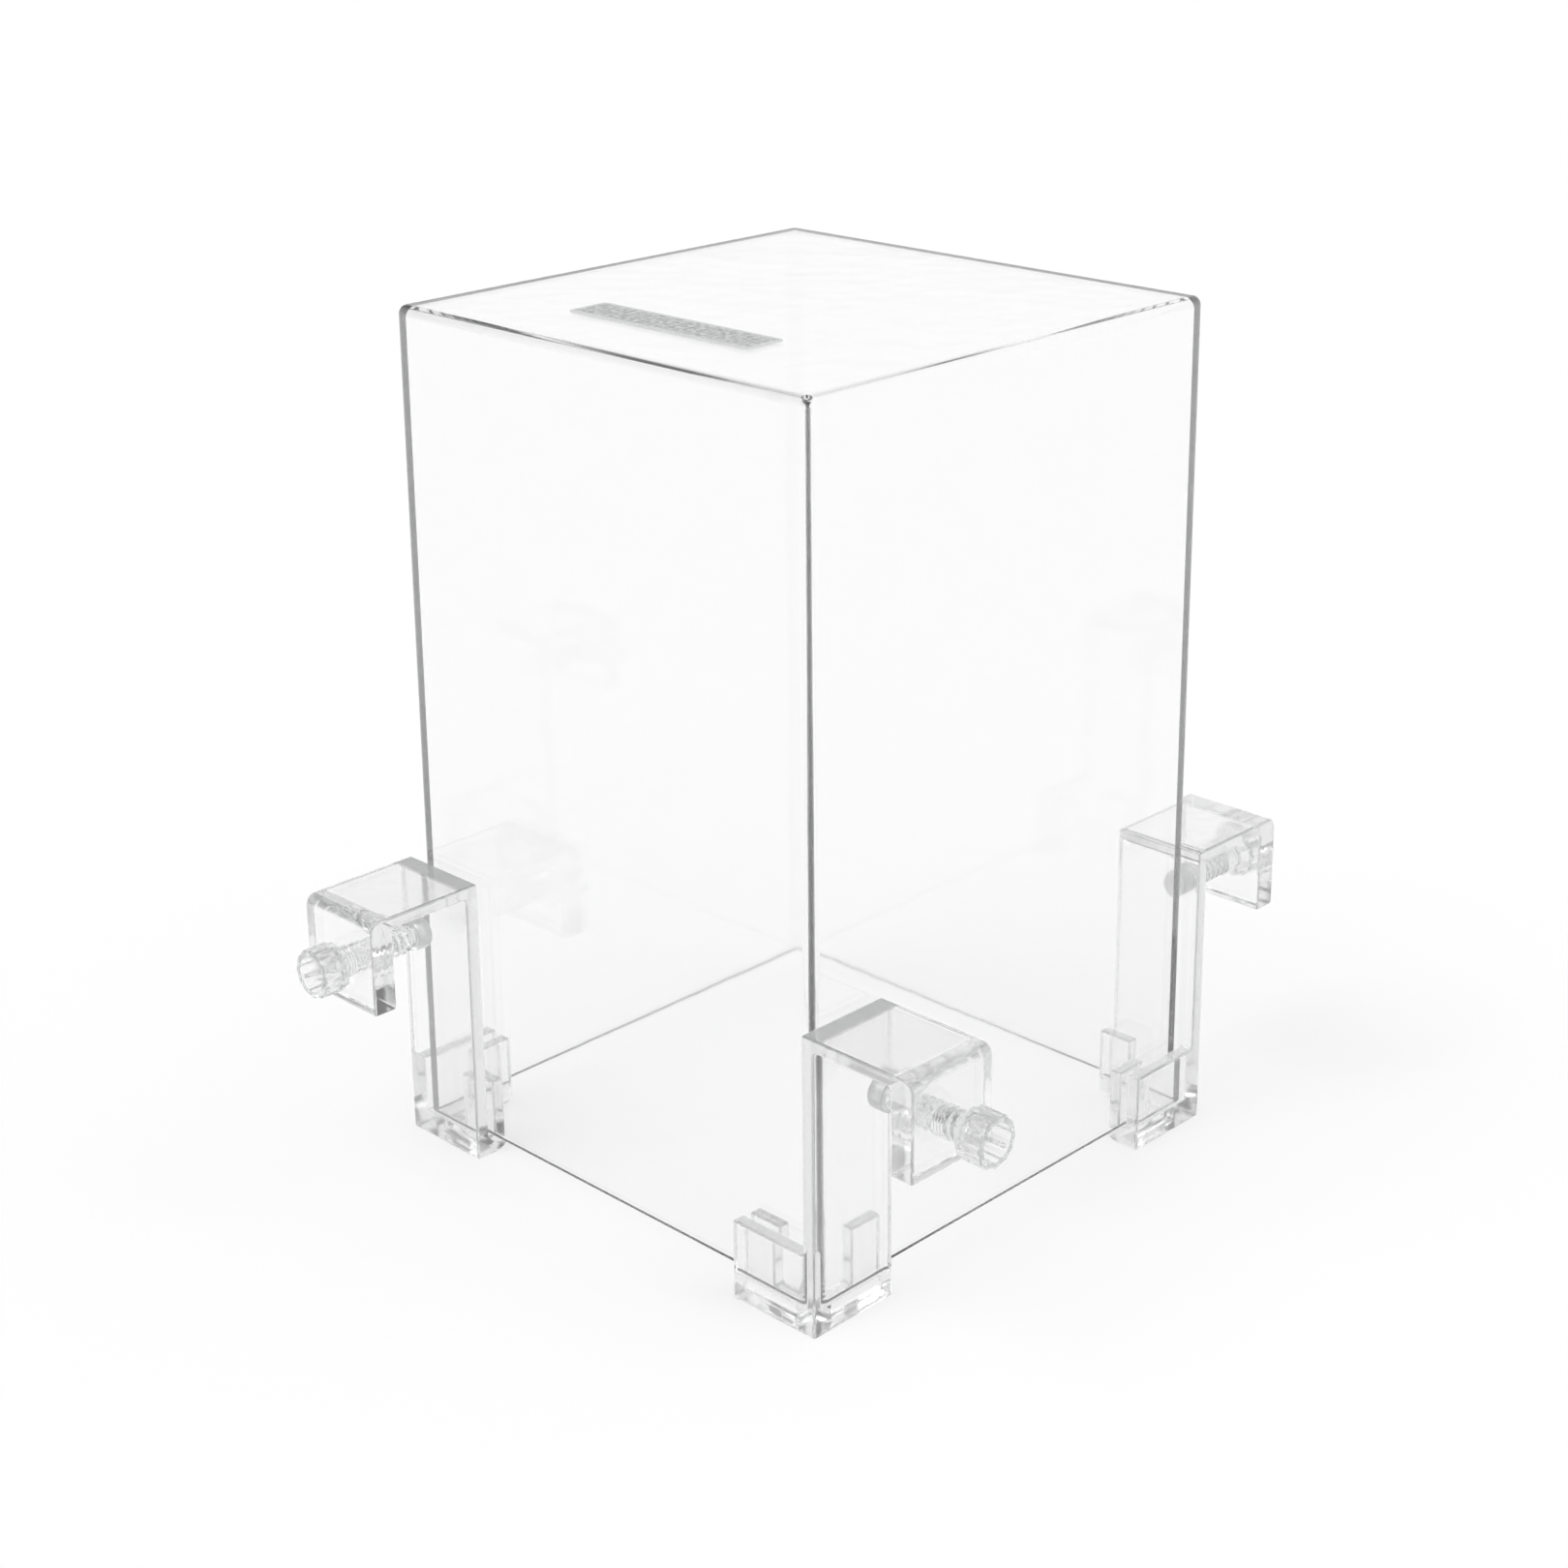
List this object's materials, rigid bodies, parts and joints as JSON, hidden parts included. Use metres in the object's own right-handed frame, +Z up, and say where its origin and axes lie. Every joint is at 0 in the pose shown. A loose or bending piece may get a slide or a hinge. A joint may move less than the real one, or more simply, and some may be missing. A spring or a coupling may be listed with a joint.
{
  "type": "fish tower aquarium",
  "caption": "Clear tank used upside down, open below, whose corner clips hook over a larger aquarium's glass and clamp it with thumb screws; a frosted strip lies on its top.",
  "frame": {"origin": "below the middle of the part's box, on the plane that the clips' feet stand on", "axes": "+Z up towards the tank's closed top; +X the way the front clip's hook reaches out; +Y the way the right clip's hook reaches out, and -Y the left clip's"},
  "size_m": [0.1368, 0.1634, 0.1601],
  "materials": {
    "tank_acrylic": "clear moulded acrylic, polished",
    "clip_plastic": "clear moulded polystyrene, glossy with faint flow marks",
    "screw_plastic": "clear moulded polycarbonate, glossy",
    "pad_plastic": "clear soft plastic, satin",
    "frosted_film": "frosted translucent film, matt and mottled"
  },
  "bodies": {
    "root": {"tank_shell": "tank_acrylic", "frosted_strip": "frosted_film", "front_clip": "clip_plastic", "right_clip": "clip_plastic", "left_clip": "clip_plastic"},
    "front_pad": {"front_clamp_pad": "pad_plastic"},
    "front_screw": {"front_thumb_screw": "screw_plastic"},
    "right_pad": {"right_clamp_pad": "pad_plastic"},
    "right_screw": {"right_thumb_screw": "screw_plastic"},
    "left_pad": {"left_clamp_pad": "pad_plastic"},
    "left_screw": {"left_thumb_screw": "screw_plastic"}
  },
  "joints": [
    {"name": "front_pad_slide", "type": "slide", "parent": "root", "child": "front_pad", "axis": [1, 0, 0], "range_m": [-0.0035, 0.0079]},
    {"name": "front_screw_turn", "type": "hinge", "parent": "front_pad", "child": "front_screw", "pos_m": [0.063, -0.04402, 0.0447], "axis": [1, 0, 0], "range_deg": [-841, 1897]},
    {"name": "right_pad_slide", "type": "slide", "parent": "root", "child": "right_pad", "axis": [0, 1, 0], "range_m": [-0.002, 0.0094]},
    {"name": "right_screw_turn", "type": "hinge", "parent": "right_pad", "child": "right_screw", "pos_m": [0.028, 0.07628, 0.0447], "axis": [0, 1, 0], "range_deg": [-481, 2257]},
    {"name": "left_pad_slide", "type": "slide", "parent": "root", "child": "left_pad", "axis": [0, -1, 0], "range_m": [-0.00075, 0.01064]},
    {"name": "left_screw_turn", "type": "hinge", "parent": "left_pad", "child": "left_screw", "pos_m": [-0.0588, -0.07628, 0.0447], "axis": [0, -1, 0], "range_deg": [-181, 2555]}
  ],
  "couplings": [
    {"joint": "front_screw_turn", "follows": "front_pad_slide", "rad_per_m": 4188.8},
    {"joint": "right_screw_turn", "follows": "right_pad_slide", "rad_per_m": 4188.8},
    {"joint": "left_screw_turn", "follows": "left_pad_slide", "rad_per_m": 4188.8}
  ]
}
